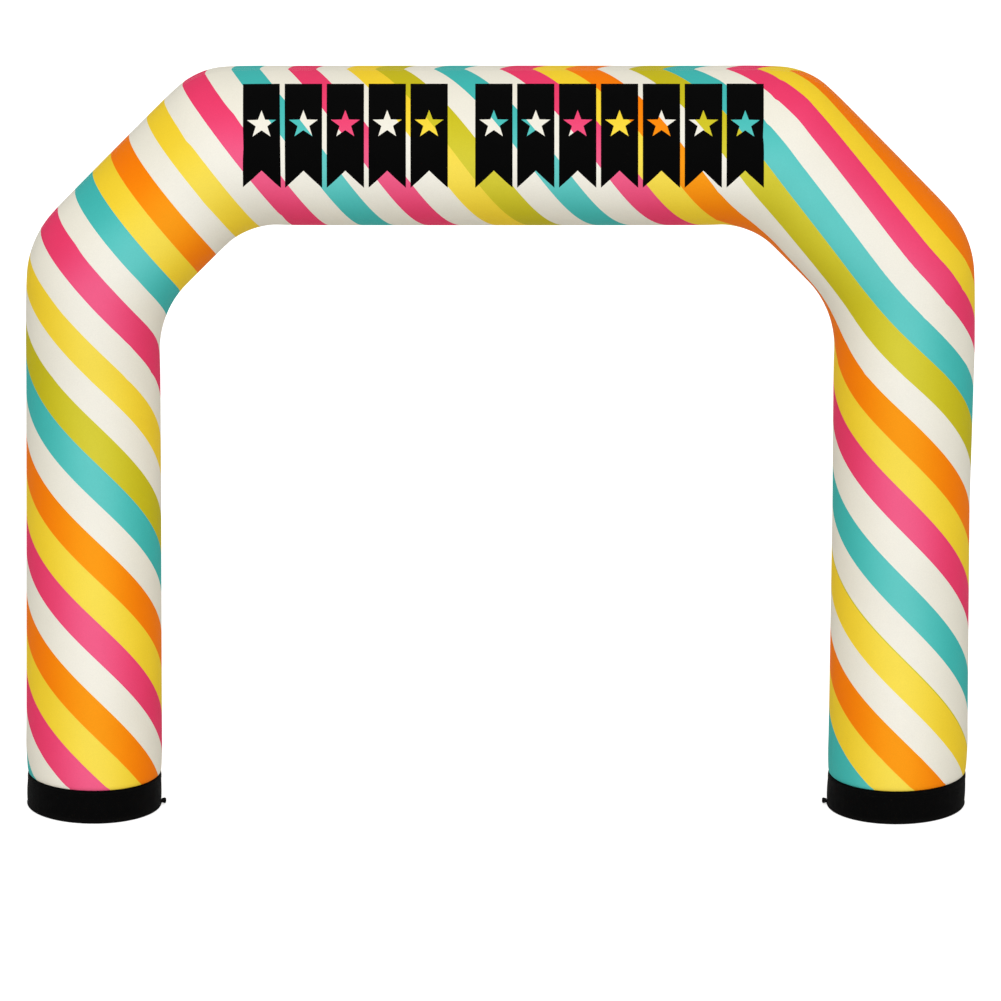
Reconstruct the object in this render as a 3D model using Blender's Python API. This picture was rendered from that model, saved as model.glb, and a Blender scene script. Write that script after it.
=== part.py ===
"""Inflatable entrance arch, at its real size in metres, +Z up.

The arch is one air-filled tube of coated polyester: two upright legs, two slanting
shoulders and a level beam, with its front towards -Y. Each leg ends in a black cuff
that stands flat on the ground, and each cuff carries one small webbing tab, low on
the side that faces the walk-through.

The origin is on the ground, midway between the outer sides of the legs.
"""
import math

import bmesh
import bpy
from mathutils import Matrix, Vector

# Driving dimensions, metres
CUFF_HEIGHT = 0.18            # black cuff, ground to the seam with the striped leg
CUFF_EDGE_ROUND = 0.006       # soft lower edge of the cuff
SHIN_HEIGHT = 0.36            # the leg has swelled to its full girth here
BEAM_HEIGHT = 3.64            # centre line of the level beam
BEAM_RADIUS = 0.421
LOWER_BEND = 0.18             # length of leg taken up by the bend, from the mitre
UPPER_BEND = 0.14             # the same at the ends of the beam
GAP = 0.0003                  # clear gap between pieces that touch
UP = Vector((0.0, 0.0, 1.0))

# Facets of the solids
TUBE_SIDES = 48
BEND_STEPS = 7
EDGE_STEPS = 2

# Centre line of the striped tube, from the left foot to the right one: the radius of
# the length that comes in and of the one that leaves, and what the bend takes of each
CENTRE_LINE = [
    # place                x       z               radius in  out     bend
    ("left foot",        -2.143, CUFF_HEIGHT + GAP, 0.352, 0.352, 0.0),
    ("left shin",        -2.144, SHIN_HEIGHT, 0.359, 0.359, 0.0),
    ("left thigh",       -2.140, 2.45, 0.355, 0.355, 0.0),
    ("left lower bend",  -2.138, 2.93, 0.355, 0.387, LOWER_BEND),
    ("left upper bend",  -1.460, BEAM_HEIGHT, 0.387, BEAM_RADIUS, UPPER_BEND),
    ("left beam",        -1.150, BEAM_HEIGHT, BEAM_RADIUS, BEAM_RADIUS, 0.0),
    ("right beam",        1.150, BEAM_HEIGHT, BEAM_RADIUS, BEAM_RADIUS, 0.0),
    ("right upper bend",  1.475, BEAM_HEIGHT, BEAM_RADIUS, 0.402, UPPER_BEND),
    ("right lower bend",  2.130, 2.95, 0.402, 0.373, LOWER_BEND),
    ("right thigh",       2.130, 2.48, 0.373, 0.373, 0.0),
    ("right calf",        2.119, 1.67, 0.363, 0.363, 0.0),
    ("right shin",        2.108, SHIN_HEIGHT, 0.368, 0.368, 0.0),
    ("right foot",        2.103, CUFF_HEIGHT + GAP, 0.363, 0.363, 0.0),
]

# Black cuffs: centre and radius on the ground and at the seam
CUFFS = [
    # node        ground x  ground r  seam x  seam r
    ("cuff_left",  -2.145, 0.355, -2.143, 0.352),
    ("cuff_right",  2.096, 0.365, 2.103, 0.363),
]

# Webbing tabs, folded back on themselves, on the inner side of each cuff
TABS = [
    # node       cuff         towards
    ("tab_left", "cuff_left", 1),
    ("tab_right", "cuff_right", -1),
]
TAB_HEIGHT = 0.018            # middle of the webbing above the ground
TAB_WIDTH = 0.045
TAB_NECK = 0.011              # thickness of the two layers
TAB_FOLD_RADIUS = 0.009       # rounded fold at the free end
TAB_LENGTH = 0.025
TAB_FOLD_STEPS = 10

# Finish: colour, roughness
STRIPED_POLYESTER = ((0.82, 0.79, 0.70), 0.45)
BLACK_POLYESTER = ((0.010, 0.010, 0.011), 0.60)
BLACK_WEBBING = ((0.012, 0.012, 0.013), 0.75)


def clear_scene():
    """Remove everything that the new file starts with."""
    for thing in list(bpy.data.objects):
        bpy.data.objects.remove(thing, do_unlink=True)


def finish_object(name, bm, finish):
    """Turn a bmesh into a named, smooth-shaded object with its own material."""
    bmesh.ops.recalc_face_normals(bm, faces=bm.faces)
    mesh = bpy.data.meshes.new(name)
    bm.to_mesh(mesh)
    bm.free()
    mesh.shade_smooth()
    mesh.set_sharp_from_angle(angle=math.radians(40))
    colour, roughness = finish
    material = bpy.data.materials.new(name + "_finish")
    material.use_nodes = True
    shader = material.node_tree.nodes["Principled BSDF"]
    shader.inputs["Base Color"].default_value = (*colour, 1.0)
    shader.inputs["Roughness"].default_value = roughness
    mesh.materials.append(material)
    piece = bpy.data.objects.new(name, mesh)
    bpy.context.collection.objects.link(piece)
    return piece


def outer_side(direction):
    """The direction across the tube, in the plane of the arch, to its outer side."""
    return Vector((-direction.z, 0.0, direction.x))


def direction_between(first, second):
    """The direction of the centre line from one of its rows to another."""
    _, first_x, first_z, *_ = CENTRE_LINE[first]
    _, second_x, second_z, *_ = CENTRE_LINE[second]
    return Vector((second_x - first_x, 0.0, second_z - first_z)).normalized()


def section_matrix(row):
    """Place a unit circle as the tube's cross-section at one row of the centre line.

    The circle's X axis points to the outer side of the arch, its Y axis along depth.
    At a bend it reaches the corners where the outer and inner lines of both straight
    lengths meet. The two ends are level, because they sit on the cuffs.
    """
    _, x, z, radius_in, radius_out, bend = CENTRE_LINE[row]
    come = UP if row == 0 else direction_between(row - 1, row)
    leave = -UP if row == len(CENTRE_LINE) - 1 else direction_between(row, row + 1)
    if row == 0:
        across = outer_side(UP) * radius_in
    elif row == len(CENTRE_LINE) - 1:
        across = outer_side(-UP) * radius_out
    elif bend:
        turn = come.dot(leave)
        near_side = outer_side(come) * (radius_in - turn * radius_out)
        far_side = outer_side(leave) * (radius_out - turn * radius_in)
        across = (near_side + far_side) / (1.0 - turn * turn)
    else:
        across = outer_side((come + leave).normalized()) * radius_in
    depth = Vector((0.0, 0.5 * (radius_in + radius_out), 0.0))
    along = across.cross(depth).normalized()
    placed = Matrix((across, depth, along)).transposed().to_4x4()
    return Matrix.Translation((x, 0.0, z)) @ placed


def make_envelope():
    """The striped tube: one ring carried from foot to foot, then the bends rounded."""
    places = [section_matrix(i) for i in range(len(CENTRE_LINE))]

    bm = bmesh.new()
    bmesh.ops.create_circle(bm, cap_ends=True, radius=1.0, segments=TUBE_SIDES,
                            matrix=places[0])
    ring = [edge for edge in bm.edges]
    bends = []
    for i in range(1, len(places)):
        grown = bmesh.ops.extrude_edge_only(bm, edges=ring)["geom"]
        verts = [part for part in grown if isinstance(part, bmesh.types.BMVert)]
        ring = [part for part in grown if isinstance(part, bmesh.types.BMEdge)
                and all(v in verts for v in part.verts)]
        bmesh.ops.transform(bm, matrix=places[i] @ places[i - 1].inverted(), verts=verts)
        if CENTRE_LINE[i][5]:
            bends.append((ring, CENTRE_LINE[i][5]))
    bmesh.ops.contextual_create(bm, geom=ring)
    for ring, length in bends:
        bmesh.ops.bevel(bm, geom=ring, offset=length, offset_type="OFFSET",
                        segments=BEND_STEPS, profile=0.5, affect="EDGES", material=-1)
    return finish_object("envelope", bm, STRIPED_POLYESTER)


def make_cuff(name, ground_x, ground_radius, seam_x, seam_radius):
    """A filled drum of black cloth, a little wider on the ground than at the seam."""
    bm = bmesh.new()
    bmesh.ops.create_circle(bm, cap_ends=True, radius=ground_radius, segments=TUBE_SIDES,
                            matrix=Matrix.Translation((ground_x, 0.0, 0.0)))
    ring = [edge for edge in bm.edges]
    grown = bmesh.ops.extrude_edge_only(bm, edges=ring)["geom"]
    top = [part for part in grown if isinstance(part, bmesh.types.BMVert)]
    rim = [part for part in grown if isinstance(part, bmesh.types.BMEdge)
           and all(v in top for v in part.verts)]
    lift = (Matrix.Translation((seam_x, 0.0, CUFF_HEIGHT))
            @ Matrix.Scale(seam_radius / ground_radius, 4)
            @ Matrix.Translation((-ground_x, 0.0, 0.0)))
    bmesh.ops.transform(bm, matrix=lift, verts=top)
    bmesh.ops.contextual_create(bm, geom=rim)
    foot = [edge for edge in bm.edges if all(abs(v.co.z) < GAP for v in edge.verts)]
    bmesh.ops.bevel(bm, geom=foot, offset=CUFF_EDGE_ROUND, offset_type="OFFSET",
                    segments=EDGE_STEPS, profile=0.5, affect="EDGES", material=-1)
    return finish_object(name, bm, BLACK_POLYESTER)


def make_tab(name, cuff_name, towards):
    """Webbing folded back on itself: a flat neck that ends in a rounded fold."""
    _, ground_x, ground_radius, seam_x, seam_radius = next(
        row for row in CUFFS if row[0] == cuff_name)
    rise = TAB_HEIGHT / CUFF_HEIGHT
    centre_x = ground_x + rise * (seam_x - ground_x)
    radius = ground_radius + rise * (seam_radius - ground_radius)
    start = centre_x + towards * (radius + GAP)

    fold_centre = TAB_LENGTH - TAB_FOLD_RADIUS
    opening = math.asin(0.5 * TAB_NECK / TAB_FOLD_RADIUS)
    outline = [(0.0, -0.5 * TAB_NECK)]
    for step in range(TAB_FOLD_STEPS + 1):
        angle = -math.pi + opening + step * 2.0 * (math.pi - opening) / TAB_FOLD_STEPS
        outline.append((fold_centre + TAB_FOLD_RADIUS * math.cos(angle),
                        TAB_FOLD_RADIUS * math.sin(angle)))
    outline.append((0.0, 0.5 * TAB_NECK))

    bm = bmesh.new()
    side = [bm.verts.new((start + towards * x, -0.5 * TAB_WIDTH, TAB_HEIGHT + z))
            for x, z in outline]
    face = bm.faces.new(side)
    grown = bmesh.ops.extrude_face_region(bm, geom=[face])["geom"]
    verts = [part for part in grown if isinstance(part, bmesh.types.BMVert)]
    bmesh.ops.translate(bm, vec=(0.0, TAB_WIDTH, 0.0), verts=verts)
    return finish_object(name, bm, BLACK_WEBBING)


clear_scene()
make_envelope()
for cuff in CUFFS:
    make_cuff(*cuff)
for tab in TABS:
    make_tab(*tab)
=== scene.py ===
# %% [markdown]
# # An inflatable entrance arch
#
# The real object is one long tube of coated polyester, kept round and upright by the
# air in it. Two panels, a front and a back, are cut from striped cloth laid double and
# sewn together along the outer and inner line of the arch. Each leg ends in a black
# cuff with a flat floor, and each cuff has one small webbing tab for tying it down.
#
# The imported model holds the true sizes. This lesson loads it as a fixed frame and
# makes one detailed piece for each of its nodes.

# %% Load the frame
import math

import bmesh
import bpy
from mathutils import Matrix, Vector
from mathutils.noise import noise as noise_value


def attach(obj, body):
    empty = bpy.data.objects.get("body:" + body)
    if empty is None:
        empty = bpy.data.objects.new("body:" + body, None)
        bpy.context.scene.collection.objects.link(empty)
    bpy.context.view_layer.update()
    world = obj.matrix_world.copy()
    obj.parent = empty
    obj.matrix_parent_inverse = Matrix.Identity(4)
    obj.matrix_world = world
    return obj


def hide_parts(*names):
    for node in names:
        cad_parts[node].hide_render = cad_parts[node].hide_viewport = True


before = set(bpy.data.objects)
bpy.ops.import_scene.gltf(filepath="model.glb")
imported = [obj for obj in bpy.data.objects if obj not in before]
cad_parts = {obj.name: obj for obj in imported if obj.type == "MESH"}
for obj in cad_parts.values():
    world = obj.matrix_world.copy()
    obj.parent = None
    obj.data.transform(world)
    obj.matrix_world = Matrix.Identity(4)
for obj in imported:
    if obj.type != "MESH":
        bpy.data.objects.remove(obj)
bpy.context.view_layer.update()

print("nodes:", sorted(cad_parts))

# %% [markdown]
# ## The camera
#
# The arch is seen from straight ahead and a little above: the black cuffs show a
# curved lower edge, which a level view would draw straight. Its legs stay parallel, so
# the lens is very long and stands far away. A long lens could also be an orthographic
# camera, but a perspective one keeps working when it is moved round the object.

# %% Camera
VIEW_DOWN = math.radians(17.5)
CAMERA_DISTANCE = 180.0
FRAME_WIDTH = 5.285          # metres of the arch's own plane that the view spans
SENSOR_WIDTH = 36.0
TARGET = Vector((0.005, 0.0, 1.682))

towards_camera = Vector((0.0, -math.cos(VIEW_DOWN), math.sin(VIEW_DOWN)))
camera_data = bpy.data.cameras.new("camera")
camera_data.sensor_width = SENSOR_WIDTH
camera_data.lens = SENSOR_WIDTH * CAMERA_DISTANCE / FRAME_WIDTH
camera_data.clip_end = 3.0 * CAMERA_DISTANCE
camera = bpy.data.objects.new("camera", camera_data)
camera.location = TARGET + towards_camera * CAMERA_DISTANCE
camera.rotation_euler = (math.pi / 2 - VIEW_DOWN, 0.0, 0.0)
bpy.context.scene.collection.objects.link(camera)
bpy.context.scene.camera = camera
print("lens:", round(camera_data.lens), "mm")

# %% [markdown]
# ## Floor and light
#
# A plain white studio. An even white surround and a pale floor give most of the light,
# and one very wide soft light, in front and above, makes the tube brightest a little
# above its middle and lets it fall off gently all round. A sun lamp with a wide angle
# works as an endless softbox: both legs get the same light, which a lamp close by
# would not give. The floor itself is a shade darker than the camera sees it, or its
# glow would light up the underside of the beam.

# %% Floor and light
FLOOR_RADIUS = 120.0
FLOOR_COLOUR = (0.75, 0.75, 0.74, 1.0)
FLOOR_LIFT = 0.60            # brightness added to what the camera sees of the floor
SURROUND = 0.64
SOFTBOX_STRENGTH = 1.64
SOFTBOX_WIDTH = math.radians(50.0)
SOFTBOX_HEIGHT = math.radians(38.0)


def link_new(name, data):
    """Add a new object with this data to the scene."""
    made = bpy.data.objects.new(name, data)
    bpy.context.scene.collection.objects.link(made)
    return made


def add_node(tree, kind, inputs=None, **settings):
    """Add a node; inputs maps a socket to a value, or to the output that feeds it."""
    made = tree.nodes.new(kind)
    for name, value in settings.items():
        setattr(made, name, value)
    for socket, value in (inputs or {}).items():
        if isinstance(value, bpy.types.NodeSocket):
            tree.links.new(value, made.inputs[socket])
        else:
            made.inputs[socket].default_value = value
    return made


def new_material(name):
    """A new node material: its tree and its Principled shader."""
    material = bpy.data.materials.new(name)
    material.use_nodes = True
    return material, material.node_tree, material.node_tree.nodes["Principled BSDF"]


def make_floor():
    """A wide, plain, pale floor."""
    bm = bmesh.new()
    bmesh.ops.create_circle(bm, cap_ends=True, radius=FLOOR_RADIUS, segments=96)
    floor = link_new("floor", bpy.data.meshes.new("floor"))
    bm.to_mesh(floor.data)
    bm.free()
    material, tree, shader = new_material("pale_floor")
    shader.inputs["Base Color"].default_value = FLOOR_COLOUR
    shader.inputs["Roughness"].default_value = 0.9
    shader.inputs["Specular IOR Level"].default_value = 0.0
    shader.inputs["Emission Color"].default_value = (1.0, 1.0, 1.0, 1.0)
    seen = add_node(tree, "ShaderNodeLightPath")
    lift = add_node(tree, "ShaderNodeMath", {0: seen.outputs["Is Camera Ray"],
                                             1: FLOOR_LIFT}, operation="MULTIPLY")
    tree.links.new(lift.outputs[0], shader.inputs["Emission Strength"])
    floor.data.materials.append(material)
    return floor


def make_surround():
    """An even white world, plain white where it shows."""
    world = bpy.data.worlds.new("white_surround")
    world.use_nodes = True
    tree = world.node_tree
    tree.nodes["Background"].inputs["Strength"].default_value = SURROUND
    tree.nodes["Background"].inputs["Color"].default_value = (1.0, 1.0, 1.0, 1.0)
    seen = add_node(tree, "ShaderNodeLightPath")
    white = add_node(tree, "ShaderNodeBackground", {"Color": (1.0, 1.0, 1.0, 1.0)})
    choice = add_node(tree, "ShaderNodeMixShader",
                      {"Fac": seen.outputs["Is Camera Ray"],
                       1: tree.nodes["Background"].outputs[0], 2: white.outputs[0]})
    tree.links.new(choice.outputs[0], tree.nodes["World Output"].inputs["Surface"])
    bpy.context.scene.world = world


make_floor()
make_surround()
softbox_data = bpy.data.lights.new("softbox", "SUN")
softbox_data.energy = SOFTBOX_STRENGTH
softbox_data.angle = SOFTBOX_WIDTH
softbox = link_new("softbox", softbox_data)
softbox.rotation_euler = (math.pi / 2 - SOFTBOX_HEIGHT, 0.0, 0.0)
bpy.context.scene.view_settings.view_transform = "Standard"

# %% [markdown]
# ## The line of the arch
#
# The tube follows a centre line in the plane of the arch: up one leg, over a slanting
# length, along the level beam and down again. Each row gives a cross-section: its
# place, the radius of the length that comes in and of the one that leaves, and how
# much of both a rounded bend takes up. Real blown-up cloth is never quite even, so the
# two legs differ a little.

# %% The line of the arch
SEAM_HEIGHT = 0.18           # top of the black cuff
GAP = 0.0003
SHIN_HEIGHT = 0.36
BEAM_HEIGHT = 3.64
BEAM_RADIUS = 0.421
LOWER_BEND = 0.18
UPPER_BEND = 0.14
UP = Vector((0.0, 0.0, 1.0))

CENTRE_LINE = [
    # place                x       z             radius in  out     bend
    ("left foot",        -2.143, SEAM_HEIGHT + GAP, 0.352, 0.352, 0.0),
    ("left shin",        -2.144, SHIN_HEIGHT, 0.359, 0.359, 0.0),
    ("left thigh",       -2.140, 2.45, 0.355, 0.355, 0.0),
    ("left lower bend",  -2.138, 2.93, 0.355, 0.387, LOWER_BEND),
    ("left upper bend",  -1.460, BEAM_HEIGHT, 0.387, BEAM_RADIUS, UPPER_BEND),
    ("left beam",        -1.150, BEAM_HEIGHT, BEAM_RADIUS, BEAM_RADIUS, 0.0),
    ("right beam",        1.150, BEAM_HEIGHT, BEAM_RADIUS, BEAM_RADIUS, 0.0),
    ("right upper bend",  1.475, BEAM_HEIGHT, BEAM_RADIUS, 0.402, UPPER_BEND),
    ("right lower bend",  2.130, 2.95, 0.402, 0.373, LOWER_BEND),
    ("right thigh",       2.130, 2.48, 0.373, 0.373, 0.0),
    ("right calf",        2.119, 1.67, 0.363, 0.363, 0.0),
    ("right shin",        2.108, SHIN_HEIGHT, 0.368, 0.368, 0.0),
    ("right foot",        2.103, SEAM_HEIGHT + GAP, 0.363, 0.363, 0.0),
]
PLACES = {name: row for row, (name, *_) in enumerate(CENTRE_LINE)}


def centre_of(row):
    """The centre of one cross-section."""
    _, x, z, *_ = CENTRE_LINE[row]
    return Vector((x, 0.0, z))


def outer_side(direction):
    """The direction across the tube, in the plane of the arch, to its outer side."""
    return Vector((-direction.z, 0.0, direction.x))


def section_matrix(row):
    """Place a unit circle as a cross-section: X to the outer side, Y along the depth."""
    _, x, z, radius_in, radius_out, bend = CENTRE_LINE[row]
    last = len(CENTRE_LINE) - 1
    come = UP if row == 0 else (centre_of(row) - centre_of(row - 1)).normalized()
    leave = -UP if row == last else (centre_of(row + 1) - centre_of(row)).normalized()
    if row in (0, last):
        across = outer_side(UP if row == 0 else -UP) * radius_in
    elif bend:
        turn = come.dot(leave)
        near_side = outer_side(come) * (radius_in - turn * radius_out)
        far_side = outer_side(leave) * (radius_out - turn * radius_in)
        across = (near_side + far_side) / (1.0 - turn * turn)
    else:
        across = outer_side((come + leave).normalized()) * radius_in
    depth = Vector((0.0, 0.5 * (radius_in + radius_out), 0.0))
    along = across.cross(depth).normalized()
    placed = Matrix((across, depth, along)).transposed().to_4x4()
    return Matrix.Translation((x, 0.0, z)) @ placed


print("cross-sections:", len(CENTRE_LINE))

# %% [markdown]
# ## The blown-up tube
#
# One ring of vertices is drawn round the left foot and carried from cross-section to
# cross-section with extrude, so the skin is one regular sheet of quads. Bevel rounds
# the mitred bends, and the long bands are subdivided until the quads are small enough
# for cloth. A curve with a round bevel would be quicker, but it can't hold a mitre
# whose two lengths differ in girth.

# %% The blown-up tube
TUBE_SIDES = 96
BEND_STEPS = 8
QUAD_LENGTH = 0.055
CAP_RIM = 0.012              # narrow rim that keeps each closed end crisp
CAP_INSET = 8.0 * CAP_RIM    # the second, wider ring inside the rim
SEAM_HALF_WIDTH = 0.009      # half of the groove along each side seam


def extrude_ring(bm, ring, matrix):
    """Extrude a ring of edges and carry the new ring to its place."""
    grown = bmesh.ops.extrude_edge_only(bm, edges=ring)["geom"]
    verts = [part for part in grown if isinstance(part, bmesh.types.BMVert)]
    edges = [part for part in grown if isinstance(part, bmesh.types.BMEdge)
             and all(v in verts for v in part.verts)]
    bmesh.ops.transform(bm, matrix=matrix, verts=verts)
    return edges


def rings_from(first):
    """The rings of an open tube in order, each a list of vertices, from one end."""
    rings = [list(first)]
    seen = set(first)
    while True:
        ring = []
        for vert in rings[-1]:
            ring += [e.other_vert(vert) for e in vert.link_edges
                     if e.other_vert(vert) not in seen]
        if not ring:
            return rings
        seen.update(ring)
        rings.append(ring)


def split_long_bands(bm, first):
    """Subdivide the bands between rings until no quad is longer than QUAD_LENGTH."""
    wanted = bm.edges.layers.int.new("cuts")
    rings = rings_from(first)
    for lower, upper in zip(rings, rings[1:]):
        above = set(upper)
        rungs = [e for v in lower for e in v.link_edges if e.other_vert(v) in above]
        cuts = int(sum(e.calc_length() for e in rungs) / len(rungs) / QUAD_LENGTH)
        for edge in rungs:
            edge[wanted] = cuts
    for cuts in sorted({e[wanted] for e in bm.edges} - {0}):
        bmesh.ops.subdivide_edges(bm, edges=[e for e in bm.edges if e[wanted] == cuts],
                                  cuts=cuts, use_grid_fill=True)
    bm.edges.layers.int.remove(bm.edges.layers.int["cuts"])


def close_end(bm, edges):
    """Close a ring of edges with a flat floor that has a narrow rim."""
    faces = bmesh.ops.contextual_create(bm, geom=edges)["faces"]
    bmesh.ops.inset_region(bm, faces=faces, thickness=CAP_RIM, use_even_offset=True)
    bmesh.ops.inset_region(bm, faces=faces, thickness=CAP_INSET)
    return faces


def cut_beside_seams(bm):
    """Cut a narrow column of quads on each side of both side seams."""
    for side in (-1.0, 1.0):
        geom = list(bm.verts) + list(bm.edges) + list(bm.faces)
        bmesh.ops.bisect_plane(bm, geom=geom, dist=1e-6, plane_no=(0.0, 1.0, 0.0),
                               plane_co=(0.0, side * SEAM_HALF_WIDTH, 0.0))


def make_tube():
    """The whole tube as a closed bmesh."""
    places = [section_matrix(row) for row in range(len(CENTRE_LINE))]
    bm = bmesh.new()
    made = bmesh.ops.create_circle(bm, radius=1.0, segments=TUBE_SIDES, matrix=places[0])
    first = made["verts"]
    ring = list(bm.edges)
    bends = []
    for row in range(1, len(places)):
        ring = extrude_ring(bm, ring, places[row] @ places[row - 1].inverted())
        *_, bend = CENTRE_LINE[row]
        if bend:
            bends.append((ring, bend))
    for ring, length in bends:
        bmesh.ops.bevel(bm, geom=ring, offset=length, offset_type="OFFSET",
                        segments=BEND_STEPS, profile=0.5, affect="EDGES", material=-1)
    split_long_bands(bm, first)
    cut_beside_seams(bm)
    for left in (True, False):
        close_end(bm, [e for e in bm.edges if e.is_boundary
                       and (e.verts[0].co.x < 0.0) == left])
    bmesh.ops.recalc_face_normals(bm, faces=bm.faces)
    return bm


tube = make_tube()
print("tube:", len(tube.verts), "vertices, volume", round(tube.calc_volume(), 3), "m3")

# %% [markdown]
# ## Where the print lies
#
# The stripes are printed on flat cloth and run straight over the whole front panel, up
# to the left. Blown up, each length of the tube pulls them a little its own way. So
# the arch is treated as seven sheets: each tells which stripe passes the middle of its
# front, and how many stripes follow one another in a metre to the right and in a metre
# upwards. All of them bow by the same amount. Towards the seams the cloth turns away,
# so there is more cloth than width, and the stripes swing: how far follows from the
# tube's radius. Between the middles of two sheets one fades into the other, which
# keeps the stripes smooth.
#
# The back panel is cut from the same cloth laid double: its print mirrors the front
# and meets it along both side seams. The stripe numbers go into UV maps, which stay
# with the cloth however it is pushed about.

# %% Sheets of the print
SHEETS = [
    # sheet         metres  stripe   stripes in a metre
    #               along   there    right    up
    ("left shin",    0.50,   4.9,     4.6,     4.5),
    ("left thigh",   2.00,  11.8,     4.6,     4.5),
    ("left slope",   3.24,  18.9,     5.5,     4.4),
    ("beam",         5.20,  31.1,     5.6,     4.2),
    ("right slope",  7.14,  39.8,     5.5,     4.0),
    ("right thigh",  8.40,  36.5,     4.6,     4.5),
    ("right shin",   9.90,  29.8,     4.6,     4.5),
]
BOW = 0.35                   # stripes that the seams run ahead of the middle
MEAN_RADIUS = 0.38
SHEET_RUNS = [along for _, along, *_ in SHEETS]

ENDS = [centre_of(PLACES[name]) for name in
        ("left foot", "left lower bend", "left upper bend",
         "right upper bend", "right lower bend", "right foot")]
DIRECTIONS = [(there - here).normalized() for here, there in zip(ENDS, ENDS[1:])]
MITRES = [UP] + [(come + leave).normalized()
                 for come, leave in zip(DIRECTIONS, DIRECTIONS[1:])] + [-UP]
RUNS = [0.0]
for here, there in zip(ENDS, ENDS[1:]):
    RUNS.append(RUNS[-1] + (there - here).length)
RIGHT_LEG_START = RUNS[-2]


def length_at(run):
    """Which straight length of the centre line is this far along the arch."""
    return max(k for k in range(len(DIRECTIONS)) if k == 0 or RUNS[k] <= run)


def middle_of(run):
    """The point of the centre line that is this far along the arch."""
    length = length_at(run)
    return ENDS[length] + DIRECTIONS[length] * (run - RUNS[length])


MIDDLES = [middle_of(run) for run in SHEET_RUNS]
OUTER_SIDES = [outer_side(DIRECTIONS[length_at(run)]) for run in SHEET_RUNS]


def place_on_tube(point):
    """How far along the arch a point is, in metres, and its angle round the tube.

    The angle is 0 along the middle of the front and of the back, a quarter turn on the
    outer side seam and minus a quarter turn on the inner one.
    """
    last = len(DIRECTIONS) - 1
    for length, direction in enumerate(DIRECTIONS):
        if (2 * length - last) * point.x < 0.0:
            continue
        before = (point - ENDS[length]).dot(MITRES[length])
        after = (ENDS[length + 1] - point).dot(MITRES[length + 1])
        if (before >= 0.0 or length == 0) and (after > 0.0 or length == last):
            break
    before /= direction.dot(MITRES[length])
    after /= direction.dot(MITRES[length + 1])
    outwards = (point - ENDS[length]).dot(outer_side(direction))
    share = before / (before + after)
    run = RUNS[length] + share * (RUNS[length + 1] - RUNS[length])
    return run, math.atan2(outwards, abs(point.y))


def stripe_on_sheet(index, point, angle):
    """The stripe number of a point, as one sheet counts it."""
    _, _, stripe, right, up = SHEETS[index]
    per_metre = Vector((right, 0.0, up))
    wrap = MEAN_RADIUS * (angle - math.sin(angle))
    off = point - MIDDLES[index] + wrap * OUTER_SIDES[index]
    return stripe + per_metre.dot(off) + BOW * (1.0 - math.cos(angle))


def stripe_number(point, run, angle):
    """Which stripe lies here: the count of one sheet fading into that of the next."""
    later = sum(1 for along in SHEET_RUNS if along <= run)
    if later in (0, len(SHEETS)):
        return stripe_on_sheet(min(later, len(SHEETS) - 1), point, angle)
    start, end = SHEET_RUNS[later - 1:later + 1]
    share = (run - start) / (end - start)
    share *= share * (3.0 - 2.0 * share)
    return ((1.0 - share) * stripe_on_sheet(later - 1, point, angle)
            + share * stripe_on_sheet(later, point, angle))


def lay_print(bm):
    """Write the print's UV maps: stripe and length, cloth in metres, and the motif's."""
    stripes = bm.loops.layers.uv.new("print")
    cloth = bm.loops.layers.uv.new("cloth")
    motif = bm.loops.layers.uv.new("motif")
    for vert in bm.verts:
        run, angle = place_on_tube(vert.co)
        number = stripe_number(vert.co, run, angle)
        height = math.atan2(vert.co.z - BEAM_HEIGHT, abs(vert.co.y)) * BEAM_RADIUS
        for loop in vert.link_loops:
            loop[stripes].uv = (number, run)
            loop[cloth].uv = (run, angle * MEAN_RADIUS)
            loop[motif].uv = (vert.co.x, height)


lay_print(tube)
print("length of cloth:", [round(run, 2) for run in RUNS])

# %% [markdown]
# ## Blowing it up
#
# The skin is now stiff and exact, which no bag of air is. It is handed to the cloth
# simulation with an inner pressure and no weight: the quads stretch until the skin
# pushes back, the bends swell and their inner sides tighten. Every point may only move
# a few millimetres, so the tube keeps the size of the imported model, and it starts a
# little slimmer to have room to grow. The rings sewn to the cuffs don't move.

# %% Blowing it up
PRESSURE = 4.0
LAST_FRAME = 20
SLIMMER_BY = 0.003
SWELL_LIMIT = 0.006


def blow_up(piece, held):
    """Inflate a closed mesh as cloth, with some of its vertices held in place."""
    rest = [v.co.copy() for v in piece.data.vertices]
    piece.vertex_groups.new(name="held").add(held, 1.0, "REPLACE")
    cloth = piece.modifiers.new("air", "CLOTH")
    cloth.settings.use_pressure = True
    cloth.settings.uniform_pressure_force = PRESSURE
    cloth.settings.vertex_group_mass = "held"
    cloth.settings.effector_weights.gravity = 0.0
    cloth.point_cache.frame_end = LAST_FRAME
    for frame_number in range(1, LAST_FRAME + 1):
        bpy.context.scene.frame_set(frame_number)
    blown = piece.evaluated_get(bpy.context.evaluated_depsgraph_get())
    moves = [new.co - old for new, old in zip(blown.data.vertices, rest)]
    piece.modifiers.remove(cloth)
    bpy.context.scene.frame_set(1)
    for vert, old, move in zip(piece.data.vertices, rest, moves):
        vert.co = old + move * min(1.0, SWELL_LIMIT / max(move.length, 1e-9))
    return [move.length for move in moves]


def mesh_piece(name, bm):
    """Turn a bmesh into a smooth-shaded piece at the origin."""
    piece = link_new(name, bpy.data.meshes.new(name))
    bm.to_mesh(piece.data)
    bm.free()
    piece.data.shade_smooth()
    return piece


def slim_down(bm):
    """Draw the skin in by the distance that it will swell."""
    bm.normal_update()
    for vert in bm.verts:
        if vert.co.z > SHIN_HEIGHT:
            vert.co -= vert.normal * SLIMMER_BY


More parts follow.
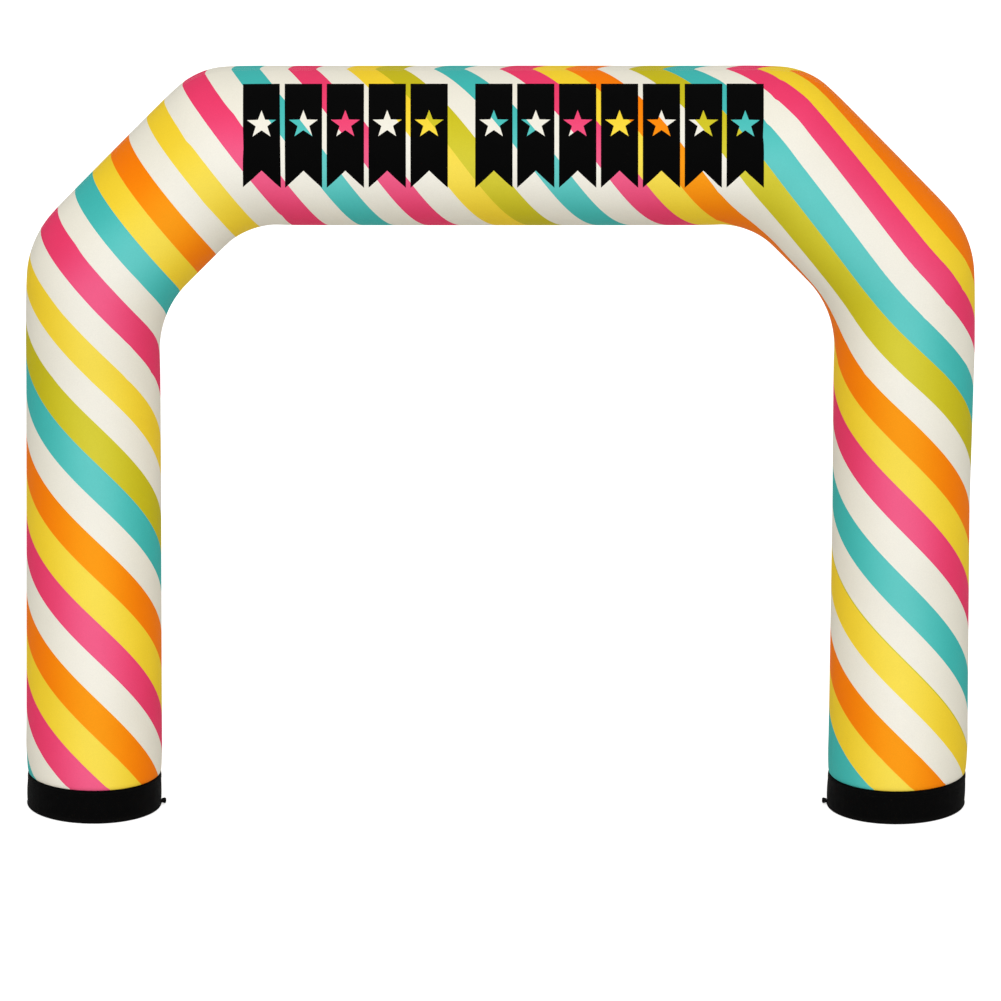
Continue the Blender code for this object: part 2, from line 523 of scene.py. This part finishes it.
slim_down(tube)
envelope = mesh_piece("striped_tube", tube)
seam_line = [v.index for v in envelope.data.vertices if abs(v.co.y) < 1e-5]
feet = [v.index for v in envelope.data.vertices if v.co.z < SEAM_HEIGHT + 2 * GAP]
swelling = blow_up(envelope, feet)
print("swelling before the limit:", round(max(swelling), 3), "m at most,",
      round(sum(swelling) / len(swelling), 3), "m on average")

# %% [markdown]
# ## Side seams
#
# Where the front and back panels are sewn, the stitching holds the cloth in while the
# air pushes the rest out, so a narrow groove runs along the outer and inner side of
# the arch. The columns of quads beside the seams are already narrow; here the line
# between them is drawn in. Displacement from a texture could do this too, but the
# groove is crisper where real edges carry it.
#
# One level of subdivision then makes the whole skin smooth, with the print's UV maps
# left straight between their points.

# %% Side seams
SEAM_DEPTH = 0.0025


def draw_in(piece, line, depth):
    """Move the vertices of a seam inwards along their normals."""
    normals = [piece.data.vertices[i].normal.copy() for i in line]
    for index, normal in zip(line, normals):
        piece.data.vertices[index].co -= normal * depth


def smooth_over(piece, levels):
    """Finish a piece with subdivision that leaves its UV maps alone."""
    smooth = piece.modifiers.new("smooth", "SUBSURF")
    smooth.levels = levels
    smooth.render_levels = levels
    smooth.uv_smooth = "NONE"


draw_in(envelope, seam_line, SEAM_DEPTH)
smooth_over(envelope, 1)
print("faces before subdivision:", len(envelope.data.polygons))

# %% [markdown]
# ## Striped, coated polyester
#
# The cloth is a fine plain weave with a satin coating, printed before it is sewn. Its
# colour reads the stripe number from the UV map and looks it up in colour ramps with
# hard steps, one step to a stripe. One ramp holds at most 32 colours, so two share the
# arch, and a short third one gives the right foot its own order of stripes. An image
# would be easier to draw, but it would blur close up and have a fixed size.

# %% Stripe colours
INKS = {
    "cream":  (0.785, 0.750, 0.640, 1.0),
    "pink":   (0.780, 0.042, 0.132, 1.0),
    "yellow": (0.850, 0.595, 0.028, 1.0),
    "orange": (0.890, 0.190, 0.001, 1.0),
    "teal":   (0.049, 0.440, 0.408, 1.0),
    "olive":  (0.530, 0.455, 0.011, 1.0),
    "black":  (0.001, 0.001, 0.001, 1.0),
}
LOWER_STRIPES = ["teal", "cream", "pink", "yellow", "orange", "cream", "pink", "yellow",
                 "orange", "cream", "teal", "olive", "cream", "yellow", "cream", "pink",
                 "cream", "teal", "yellow", "orange", "cream", "yellow", "cream"]
UPPER_STRIPES = ["pink", "cream", "teal", "cream", "pink", "cream", "yellow", "olive",
                 "cream", "teal", "cream", "pink", "yellow", "orange", "cream", "olive",
                 "teal", "cream", "pink", "yellow", "orange"]
RIGHT_FOOT_STRIPES = ["teal", "yellow", "orange", "cream", "yellow"]
UPPER_START = len(LOWER_STRIPES)
RIGHT_FOOT_START = 26
RIGHT_FOOT_END = RIGHT_FOOT_START + len(RIGHT_FOOT_STRIPES)


def calculate(tree, operation, *values):
    """One Math node; a value is a number or another node's output."""
    return add_node(tree, "ShaderNodeMath", dict(enumerate(values)),
                    operation=operation).outputs[0]


def mix_colours(tree, share, first, second):
    """Mix two colours, each a value or an output."""
    mixed = add_node(tree, "ShaderNodeMix", {0: share, 6: first, 7: second},
                     data_type="RGBA")
    return mixed.outputs[2]


def read_map(tree, name):
    """The two numbers of one UV map."""
    split = add_node(tree, "ShaderNodeSeparateXYZ",
                     {0: add_node(tree, "ShaderNodeUVMap", uv_map=name).outputs[0]})
    return split.outputs[0], split.outputs[1]


def stripe_ramp(tree, number, first, names):
    """Look up a stripe number, the first of these stripes being number first."""
    share = calculate(tree, "DIVIDE", calculate(tree, "SUBTRACT", number, first),
                      len(names))
    ramp = add_node(tree, "ShaderNodeValToRGB", {0: share})
    ramp.color_ramp.interpolation = "CONSTANT"
    steps = ramp.color_ramp.elements
    steps.remove(steps[1])
    steps[0].color = INKS[names[0]]
    for step, name in enumerate(names[1:], start=1):
        steps.new(step / len(names)).color = INKS[name]
    return ramp.outputs[0]


def stripe_colour(tree):
    """The colour of the print at each point."""
    number, run = read_map(tree, "print")
    lower = stripe_ramp(tree, number, 0, LOWER_STRIPES)
    upper = stripe_ramp(tree, number, UPPER_START, UPPER_STRIPES)
    foot = stripe_ramp(tree, number, RIGHT_FOOT_START, RIGHT_FOOT_STRIPES)
    is_upper = calculate(tree, "GREATER_THAN", number, UPPER_START)
    is_right_foot = calculate(tree, "MULTIPLY",
                              calculate(tree, "GREATER_THAN", run, RIGHT_LEG_START),
                              calculate(tree, "LESS_THAN", number, RIGHT_FOOT_END))
    colour = mix_colours(tree, is_upper, lower, upper)
    return mix_colours(tree, is_right_foot, colour, foot)


print("stripes:", UPPER_START + len(UPPER_STRIPES))

# %% [markdown]
# ## The printed banners
#
# An entrance arch carries a message across its beam. This one carries a plain motif
# of the same size instead: five and seven black swallow-tailed banners, each with a
# star left open so that the stripes show through. They are drawn in the material from
# a UV map in metres, with a few sums for each shape: the banner is a box whose lower
# edge is notched, and the star is one straight edge folded round five times.

# %% Banner motif
BANNER_PITCH = 0.22
BANNER_HALF_WIDTH = 0.098
BANNER_HALF_HEIGHT = 0.303
BANNER_MIDDLE = 0.193        # above the front of the beam, along the cloth
BANNER_NOTCH = 0.10
BANNERS_START = -1.36
FIRST_GROUP = 5
BANNER_COUNT = 12
GROUP_GAP = 0.12
STAR_POINTS = 5
STAR_RADIUS = 0.080
STAR_WAIST = 0.40            # inner corners, as a share of the points' radius
STAR_HEIGHT = 0.045          # above the banner's middle


def star_shape(tree, x, y):
    """1 inside a five-pointed star round the origin, and 0 outside it."""
    wedge = 2.0 * math.pi / STAR_POINTS
    angle = calculate(tree, "ARCTAN2", x, y)
    folded = calculate(tree, "ABSOLUTE", calculate(tree, "WRAP", angle, 0.5 * wedge,
                                                   -0.5 * wedge))
    reach = calculate(tree, "SQRT", calculate(
        tree, "ADD", calculate(tree, "MULTIPLY", x, x), calculate(tree, "MULTIPLY", y, y)))
    up = calculate(tree, "MULTIPLY", reach, calculate(tree, "COSINE", folded))
    across = calculate(tree, "MULTIPLY", reach, calculate(tree, "SINE", folded))
    waist_up = STAR_RADIUS * STAR_WAIST * math.cos(0.5 * wedge)
    waist_across = STAR_RADIUS * STAR_WAIST * math.sin(0.5 * wedge)
    slope = waist_across / (STAR_RADIUS - waist_up)
    edge = calculate(tree, "MULTIPLY", calculate(tree, "SUBTRACT", STAR_RADIUS, up), slope)
    return calculate(tree, "LESS_THAN", across, edge)


def banner_shapes(tree):
    """1 where black ink is printed for the banners, and 0 elsewhere."""
    x, y = read_map(tree, "motif")
    gap_middle = BANNERS_START + FIRST_GROUP * BANNER_PITCH + 0.5 * GROUP_GAP
    past_gap = calculate(tree, "GREATER_THAN", x, gap_middle)
    shift = calculate(tree, "MULTIPLY_ADD", past_gap, GROUP_GAP, BANNERS_START)
    cell = calculate(tree, "DIVIDE", calculate(tree, "SUBTRACT", x, shift), BANNER_PITCH)
    inside = calculate(tree, "MULTIPLY", calculate(tree, "GREATER_THAN", cell, 0.0),
                       calculate(tree, "LESS_THAN", cell, BANNER_COUNT))
    off_gap = calculate(tree, "ABSOLUTE", calculate(tree, "SUBTRACT", x, gap_middle))
    inside = calculate(tree, "MULTIPLY", inside,
                       calculate(tree, "GREATER_THAN", off_gap, 0.5 * GROUP_GAP))
    across = calculate(tree, "MULTIPLY", calculate(
        tree, "SUBTRACT", calculate(tree, "FRACT", cell), 0.5), BANNER_PITCH)
    height = calculate(tree, "SUBTRACT", y, BANNER_MIDDLE)
    aside = calculate(tree, "ABSOLUTE", across)
    body = calculate(tree, "LESS_THAN", aside, BANNER_HALF_WIDTH)
    below_top = calculate(tree, "LESS_THAN", height, BANNER_HALF_HEIGHT)
    notch = calculate(tree, "MULTIPLY_ADD", aside, -BANNER_NOTCH / BANNER_HALF_WIDTH,
                      BANNER_NOTCH - BANNER_HALF_HEIGHT)
    above_notch = calculate(tree, "GREATER_THAN", height, notch)
    star = star_shape(tree, across, calculate(tree, "SUBTRACT", height, STAR_HEIGHT))
    shape = calculate(tree, "MULTIPLY", body, calculate(tree, "MULTIPLY", below_top,
                                                        above_notch))
    shape = calculate(tree, "MULTIPLY", shape, calculate(tree, "SUBTRACT", 1.0, star))
    return calculate(tree, "MULTIPLY", inside, shape)


print("banners:", BANNER_COUNT, "of", 2 * BANNER_HALF_WIDTH, "x",
      2 * BANNER_HALF_HEIGHT, "m")

# %% [markdown]
# ## The finish of the cloth
#
# Close up, the cloth is a plain weave, so two fine waves along and across it make a
# bump. Further off the coating shows: a soft, broad gloss, and a faint unevenness in
# tone and in how smooth it lies. Light and shade are painted into the print: its colour
# is raised to a power that makes the middle of each panel lighter and the sides towards
# the seams darker and deeper in colour. Along the side seams the needle gathers the
# cloth, so the bump there has short puckers and two rows of stitches.

# %% Cloth finish
WEAVE_PITCH = 0.0016
MIDDLE_PAINTED_LIGHT = 0.70              # painted light along the middle of a panel: the power that the print's colour is raised to there
PAINTED_LIGHT_FOCUS = 5.0
PUCKER_REACH = 0.07
STITCH_ROW = 0.013           # from the seam to each row of stitches
STITCH_PITCH = 0.009
STITCH_WIDTH = 0.0016
STITCH_SHARE = 0.72          # of the pitch that the thread shows, before it dips
THREAD_COLOUR = (0.62, 0.60, 0.54, 1.0)


def weave_height(tree, run, girth, pitch):
    """The height of a plain weave, from its two directions in metres."""
    waves = [calculate(tree, "SINE", calculate(tree, "MULTIPLY", along, 2 * math.pi / pitch))
             for along in (run, girth)]
    return calculate(tree, "MULTIPLY", *waves)


def stitch_row(tree, run, offset, pitch, width):
    """1 on the stitches of one row: run along it, offset in metres from its middle."""
    thread = calculate(tree, "LESS_THAN", calculate(tree, "ABSOLUTE", offset), 0.5 * width)
    dash = calculate(tree, "LESS_THAN", calculate(
        tree, "FRACT", calculate(tree, "DIVIDE", run, pitch)), STITCH_SHARE)
    return calculate(tree, "MULTIPLY", thread, dash)


def noise(tree, scale, detail=2.0, vector=None):
    """A noise value, on Object coordinates unless another vector is given."""
    if vector is None:
        vector = add_node(tree, "ShaderNodeTexCoord").outputs["Object"]
    return add_node(tree, "ShaderNodeTexNoise",
                    {"Vector": vector, "Scale": scale, "Detail": detail}).outputs[0]


def ranged(tree, value, low, high):
    """Turn a value of 0 to 1 into one of low to high."""
    return calculate(tree, "MULTIPLY_ADD", value, high - low, low)


def striped_cloth():
    """Printed, coated polyester for the tube."""
    material, tree, shader = new_material("striped_coated_polyester")
    run, girth = read_map(tree, "cloth")
    from_seam = calculate(tree, "SUBTRACT", 0.5 * math.pi * MEAN_RADIUS,
                          calculate(tree, "ABSOLUTE", girth))
    stitches = stitch_row(tree, run, calculate(tree, "SUBTRACT", from_seam, STITCH_ROW),
                          STITCH_PITCH, STITCH_WIDTH)

    ink = banner_shapes(tree)
    # painted light and shade: a power below 1 lightens the print along the middle of each
    # panel, and it fades to its full, darker colour towards the seams
    painted_light_spread = calculate(tree, "POWER", calculate(
        tree, "COSINE", calculate(tree, "DIVIDE", girth, MEAN_RADIUS)), PAINTED_LIGHT_FOCUS)
    painted_light_and_tone = calculate(tree, "MULTIPLY", ranged(tree, painted_light_spread, 1.0, MIDDLE_PAINTED_LIGHT),
                        ranged(tree, noise(tree, 5.0), 0.97, 1.03))
    printed = add_node(tree, "ShaderNodeGamma", {0: stripe_colour(tree), 1: painted_light_and_tone})
    colour = mix_colours(tree, ink, printed.outputs[0], INKS["black"])
    colour = mix_colours(tree, stitches, colour, THREAD_COLOUR)
    tone = calculate(tree, "MULTIPLY", ranged(tree, noise(tree, 2.2), 0.95, 1.05),
                     ranged(tree, noise(tree, 160.0, 3.0), 0.94, 1.06))
    toned = add_node(tree, "ShaderNodeVectorMath", {0: colour, "Scale": tone},
                     operation="SCALE")
    tree.links.new(toned.outputs[0], shader.inputs["Base Color"])

    rough = ranged(tree, noise(tree, 14.0), 0.54, 0.64)
    tree.links.new(calculate(tree, "MULTIPLY_ADD", ink, 0.12, rough),
                   shader.inputs["Roughness"])
    shader.inputs["Specular IOR Level"].default_value = 0.03

    puckers = noise(tree, 1.0, 2.0, add_node(tree, "ShaderNodeCombineXYZ", {
        0: calculate(tree, "MULTIPLY", run, 28.0),
        1: calculate(tree, "MULTIPLY", girth, 9.0)}).outputs[0])
    near_seam = add_node(tree, "ShaderNodeMapRange", {
        0: from_seam, 1: 0.0, 2: PUCKER_REACH, 3: 1.0, 4: 0.0},
        interpolation_type="SMOOTHSTEP").outputs[0]
    fine = add_node(tree, "ShaderNodeBump", {
        "Strength": 0.35, "Distance": 0.0004,
        "Height": weave_height(tree, run, girth, WEAVE_PITCH)})
    sewn = add_node(tree, "ShaderNodeBump", {
        "Strength": 0.5, "Distance": 0.004, "Normal": fine.outputs[0],
        "Height": calculate(tree, "MULTIPLY", puckers, near_seam)})
    thread = add_node(tree, "ShaderNodeBump", {
        "Strength": 0.5, "Distance": 0.0006, "Normal": sewn.outputs[0],
        "Height": stitches})
    tree.links.new(thread.outputs[0], shader.inputs["Normal"])
    return material


envelope.data.materials.append(striped_cloth())
print("nodes of the striped cloth:", len(envelope.data.materials[0].node_tree.nodes))

# %% [markdown]
# ## The black cuffs
#
# A cuff is a short drum of heavier black cloth with a round floor panel, so the leg
# stands flat. The wall and the floor meet in a corded welt, which takes the rubbing on
# the ground, and a doubled hem joins the wall to the striped leg. A turned profile
# would be the usual way; here a ring is extruded up the same rows, because the cuff
# leans and narrows a little from the ground to the seam.

# %% Cuffs
CUFFS = [
    # node        ground x  ground r  seam x  seam r
    ("cuff_left",  -2.145, 0.355, -2.143, 0.352),
    ("cuff_right",  2.096, 0.365, 2.103, 0.363),
]
WALL_FOOT = 0.024
WALL_TOP = 0.144
CUFF_ROWS = [
    # row            height   outside the wall
    ("floor edge",   0.0000, -0.0080),
    ("floor turn",   0.0020, -0.0020),
    ("welt foot",    0.0065, 0.0012),
    ("welt",         0.0105, 0.0024),
    ("welt top",     0.0145, 0.0012),
    ("welt groove",  0.0180, -0.0012),
    ("wall foot",    WALL_FOOT, 0.0002),
    ("lower wall",   0.0500, 0.0018),
    ("middle wall",  0.0850, 0.0026),
    ("upper wall",   0.1200, 0.0018),
    ("hem foot",     WALL_TOP, 0.0008),
    ("hem step",     0.1455, 0.0020),
    ("hem",          0.1620, 0.0022),
    ("hem top",      0.1740, 0.0012),
    ("seam",         SEAM_HEIGHT, -0.0030),
]
CUFF_UNEVEN = 0.0022


def cuff_matrix(cuff, height, outside):
    """Place a unit circle as one ring of a cuff."""
    _, ground_x, ground_radius, seam_x, seam_radius = cuff
    share = height / SEAM_HEIGHT
    radius = ground_radius + share * (seam_radius - ground_radius) + outside
    middle = ground_x + share * (seam_x - ground_x)
    return Matrix.Translation((middle, 0.0, height)) @ Matrix.Diagonal(
        (radius, radius, 1.0, 1.0))


def ruffle_wall(bm, middle):
    """Let the wall of a cuff sag and gather a little, unevenly round it."""
    for vert in bm.verts:
        share = (vert.co.z - WALL_FOOT) / (WALL_TOP - WALL_FOOT)
        if 0.0 < share < 1.0:
            outwards = Vector((vert.co.x - middle, vert.co.y, 0.0)).normalized()
            wave = noise_value(Vector((9.0 * outwards.x + middle, 9.0 * outwards.y,
                                       6.0 * vert.co.z)))
            vert.co += outwards * wave * CUFF_UNEVEN * math.sin(math.pi * share)


def make_cuff(cuff):
    """One cuff: a ring extruded up its rows and closed at both ends."""
    name, middle, *_ = cuff
    rows = [cuff_matrix(cuff, height, outside) for _, height, outside in CUFF_ROWS]
    bm = bmesh.new()
    bmesh.ops.create_circle(bm, radius=1.0, segments=TUBE_SIDES, matrix=rows[0])
    ring = list(bm.edges)
    for below, above in zip(rows, rows[1:]):
        ring = extrude_ring(bm, ring, above @ below.inverted())
    for low in (True, False):
        close_end(bm, [e for e in bm.edges if e.is_boundary
                       and (e.verts[0].co.z < 0.5 * SEAM_HEIGHT) == low])
    bmesh.ops.recalc_face_normals(bm, faces=bm.faces)
    ruffle_wall(bm, middle)
    cloth = bm.loops.layers.uv.new("cloth")
    for vert in bm.verts:
        angle = math.atan2(abs(vert.co.y), vert.co.x - middle)
        for loop in vert.link_loops:
            loop[cloth].uv = (angle * MEAN_RADIUS, vert.co.z)
    return mesh_piece(name.replace("cuff", "cloth_cuff"), bm)


cuffs = [make_cuff(cuff) for cuff in CUFFS]
for cuff_piece in cuffs:
    smooth_over(cuff_piece, 1)
    print(cuff_piece.name, len(cuff_piece.data.polygons), "faces")

# %% [markdown]
# ## Webbing tabs
#
# Each cuff has one small tab, low on the side that faces the walk-through, for tying
# the leg to a stake or a weight. It is flat webbing folded back on itself and caught in
# the cuff's seam, so its side view is a drop with room for a rope. A row of edges
# follows that fold and is extruded across the width; a Solidify modifier then gives
# the webbing its thickness.

# %% Webbing tabs
TABS = [
    # node       cuff  towards
    ("tab_left", 0, 1),
    ("tab_right", 1, -1),
]
TAB_HEIGHT = 0.018
TAB_WIDTH = 0.045
TAB_NECK = 0.011
TAB_FOLD_RADIUS = 0.009
TAB_LENGTH = 0.025
TAB_FOLD_STEPS = 14
TAB_WIDTH_STEPS = 6
WEBBING = 0.0024             # its thickness
WEBBING_EDGE = 0.0006        # how far its woven edge is rounded


def make_tab(name, cuff, towards):
    """One tab: the folded line of the webbing, extruded across its width."""
    place = cuff_matrix(CUFFS[cuff], TAB_HEIGHT, 0.0)
    start = place.translation.x + towards * (place[0][0] + GAP)
    fold = TAB_FOLD_RADIUS - 0.5 * WEBBING
    opening = math.asin(0.5 * (TAB_NECK - WEBBING) / fold)
    bm = bmesh.new()
    made = bmesh.ops.create_circle(bm, radius=fold, segments=TAB_FOLD_STEPS, matrix=(
        Matrix.Translation((TAB_LENGTH - TAB_FOLD_RADIUS, 0.0, 0.0))
        @ Matrix.Rotation(0.5 * math.pi, 4, "X") @ Matrix.Rotation(0.5 * math.pi, 4, "Z")))
    behind = [v for v in made["verts"]
              if v.co.x < TAB_LENGTH - TAB_FOLD_RADIUS - fold * math.cos(opening) * 0.9]
    bmesh.ops.delete(bm, geom=behind, context="VERTS")
    ends = [v for v in bm.verts if len(v.link_edges) == 1]
    for end in ends:
        side = math.copysign(0.5 * (TAB_NECK - WEBBING), end.co.z)
        for reach in (0.5 * end.co.x, 0.0):
            grown = bmesh.ops.extrude_vert_indiv(bm, verts=[end])["verts"]
            end = grown[0]
            end.co = Vector((reach, 0.0, side))
    line = list(bm.edges)
    bmesh.ops.translate(bm, vec=(0.0, -0.5 * TAB_WIDTH, 0.0), verts=bm.verts)
    for _ in range(TAB_WIDTH_STEPS):
        grown = bmesh.ops.extrude_edge_only(bm, edges=line)["geom"]
        verts = [part for part in grown if isinstance(part, bmesh.types.BMVert)]
        line = [part for part in grown if isinstance(part, bmesh.types.BMEdge)
                and all(v in verts for v in part.verts)]
        bmesh.ops.translate(bm, vec=(0.0, TAB_WIDTH / TAB_WIDTH_STEPS, 0.0), verts=verts)
    cloth = bm.loops.layers.uv.new("cloth")
    for face in bm.faces:
        for loop in face.loops:
            loop[cloth].uv = (loop.vert.co.x, loop.vert.co.y)
    place_tab = (Matrix.Translation((start, 0.0, TAB_HEIGHT))
                 @ Matrix.Rotation(0.0 if towards > 0 else math.pi, 4, "Z"))
    bmesh.ops.transform(bm, matrix=place_tab, verts=bm.verts)
    bmesh.ops.recalc_face_normals(bm, faces=bm.faces)
    piece = mesh_piece(name.replace("tab", "webbing_tab"), bm)
    wall = piece.modifiers.new("webbing", "SOLIDIFY")
    wall.thickness = WEBBING
    wall.offset = 0.0
    edge = piece.modifiers.new("woven_edge", "BEVEL")
    edge.width = WEBBING_EDGE
    edge.segments = 2
    edge.limit_method = "ANGLE"
    return piece


tabs = [make_tab(*tab) for tab in TABS]
for tab_piece in tabs:
    print(tab_piece.name, len(tab_piece.data.polygons), "faces before its thickness")

# %% [markdown]
# ## Black cloth and webbing
#
# Both are black, so their finish shows in the gloss and not in the colour. The cuff's
# cloth has a coarser weave than the print and a duller coat, with two rows of stitches
# on its hem, one above its welt, and a trace of dust near the ground. The webbing has
# the thick ribs of a woven strap.

# %% Black cloth and webbing
HEM_ROWS = (0.1485, 0.1700)
WELT_ROW = 0.0215
HEM_STITCH_PITCH = 0.007
DUST_HEIGHT = 0.05
DUST_SHARE = 0.05            # of the dust's colour, where it lies thickest
CUFF_BLACK = (0.0008, 0.0008, 0.0009, 1.0)
DUST_COLOUR = (0.10, 0.09, 0.08, 1.0)
BLACK_THREAD = (0.004, 0.004, 0.004, 1.0)
COARSE_PITCH = 0.0022
RIB_PITCH = 0.0030


def black_cloth():
    """Heavy coated cloth for the cuffs."""
    material, tree, shader = new_material("black_coated_cloth")
    round_it, height = read_map(tree, "cloth")
    rows = [stitch_row(tree, round_it, calculate(tree, "SUBTRACT", height, row),
                       HEM_STITCH_PITCH, STITCH_WIDTH) for row in (*HEM_ROWS, WELT_ROW)]
    stitches = calculate(tree, "ADD", rows[0], calculate(tree, "ADD", rows[1], rows[2]))
    low = add_node(tree, "ShaderNodeMapRange", {0: height, 1: 0.0, 2: DUST_HEIGHT,
                                                3: 1.0, 4: 0.0}).outputs[0]
    dust = calculate(tree, "MULTIPLY", calculate(tree, "MULTIPLY", low, low),
                     ranged(tree, noise(tree, 60.0, 4.0), -0.2, 1.2))
    colour = mix_colours(tree, calculate(tree, "MULTIPLY", dust, DUST_SHARE),
                         CUFF_BLACK, DUST_COLOUR)
    colour = mix_colours(tree, stitches, colour, BLACK_THREAD)
    tree.links.new(colour, shader.inputs["Base Color"])
    tree.links.new(ranged(tree, noise(tree, 25.0), 0.60, 0.78), shader.inputs["Roughness"])
    shader.inputs["Specular IOR Level"].default_value = 0.04
    fine = add_node(tree, "ShaderNodeBump", {
        "Strength": 0.5, "Distance": 0.0006,
        "Height": weave_height(tree, round_it, height, COARSE_PITCH)})
    gathers = noise(tree, 1.0, 2.0, add_node(tree, "ShaderNodeCombineXYZ", {
        0: calculate(tree, "MULTIPLY", round_it, 40.0),
        1: calculate(tree, "MULTIPLY", height, 8.0)}).outputs[0])
    soft = add_node(tree, "ShaderNodeBump", {"Strength": 0.5, "Distance": 0.004,
                                             "Height": gathers, "Normal": fine.outputs[0]})
    thread = add_node(tree, "ShaderNodeBump", {"Strength": 0.5, "Distance": 0.0008,
                                               "Height": stitches,
                                               "Normal": soft.outputs[0]})
    tree.links.new(thread.outputs[0], shader.inputs["Normal"])
    return material


def black_webbing():
    """Thick ribbed webbing for the tabs."""
    material, tree, shader = new_material("black_webbing")
    along, across = read_map(tree, "cloth")
    ribs = weave_height(tree, along, across, RIB_PITCH)
    tone = ranged(tree, noise(tree, 300.0), 0.0015, 0.0035)
    colour = add_node(tree, "ShaderNodeCombineColor", {0: tone, 1: tone, 2: tone})
    tree.links.new(colour.outputs[0], shader.inputs["Base Color"])
    shader.inputs["Roughness"].default_value = 0.80
    shader.inputs["Specular IOR Level"].default_value = 0.06
    bump = add_node(tree, "ShaderNodeBump", {"Strength": 0.8, "Distance": 0.0008,
                                             "Height": ribs})
    tree.links.new(bump.outputs[0], shader.inputs["Normal"])
    return material


cuff_finish = black_cloth()
tab_finish = black_webbing()
for cuff_piece in cuffs:
    cuff_piece.data.materials.append(cuff_finish)
for tab_piece in tabs:
    tab_piece.data.materials.append(tab_finish)
print("finishes:", cuff_finish.name, tab_finish.name)

# %% [markdown]
# ## Joining the pieces to the frame
#
# Nothing on the arch moves against anything else, so every piece rides on the one
# body. Each piece stands for its node of the imported model.

made_for = {"envelope": envelope}
made_for.update(zip((cuff[0] for cuff in CUFFS), cuffs))
made_for.update(zip((tab[0] for tab in TABS), tabs))
for node_name, piece in made_for.items():
    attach(piece, "root")
    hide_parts(node_name)
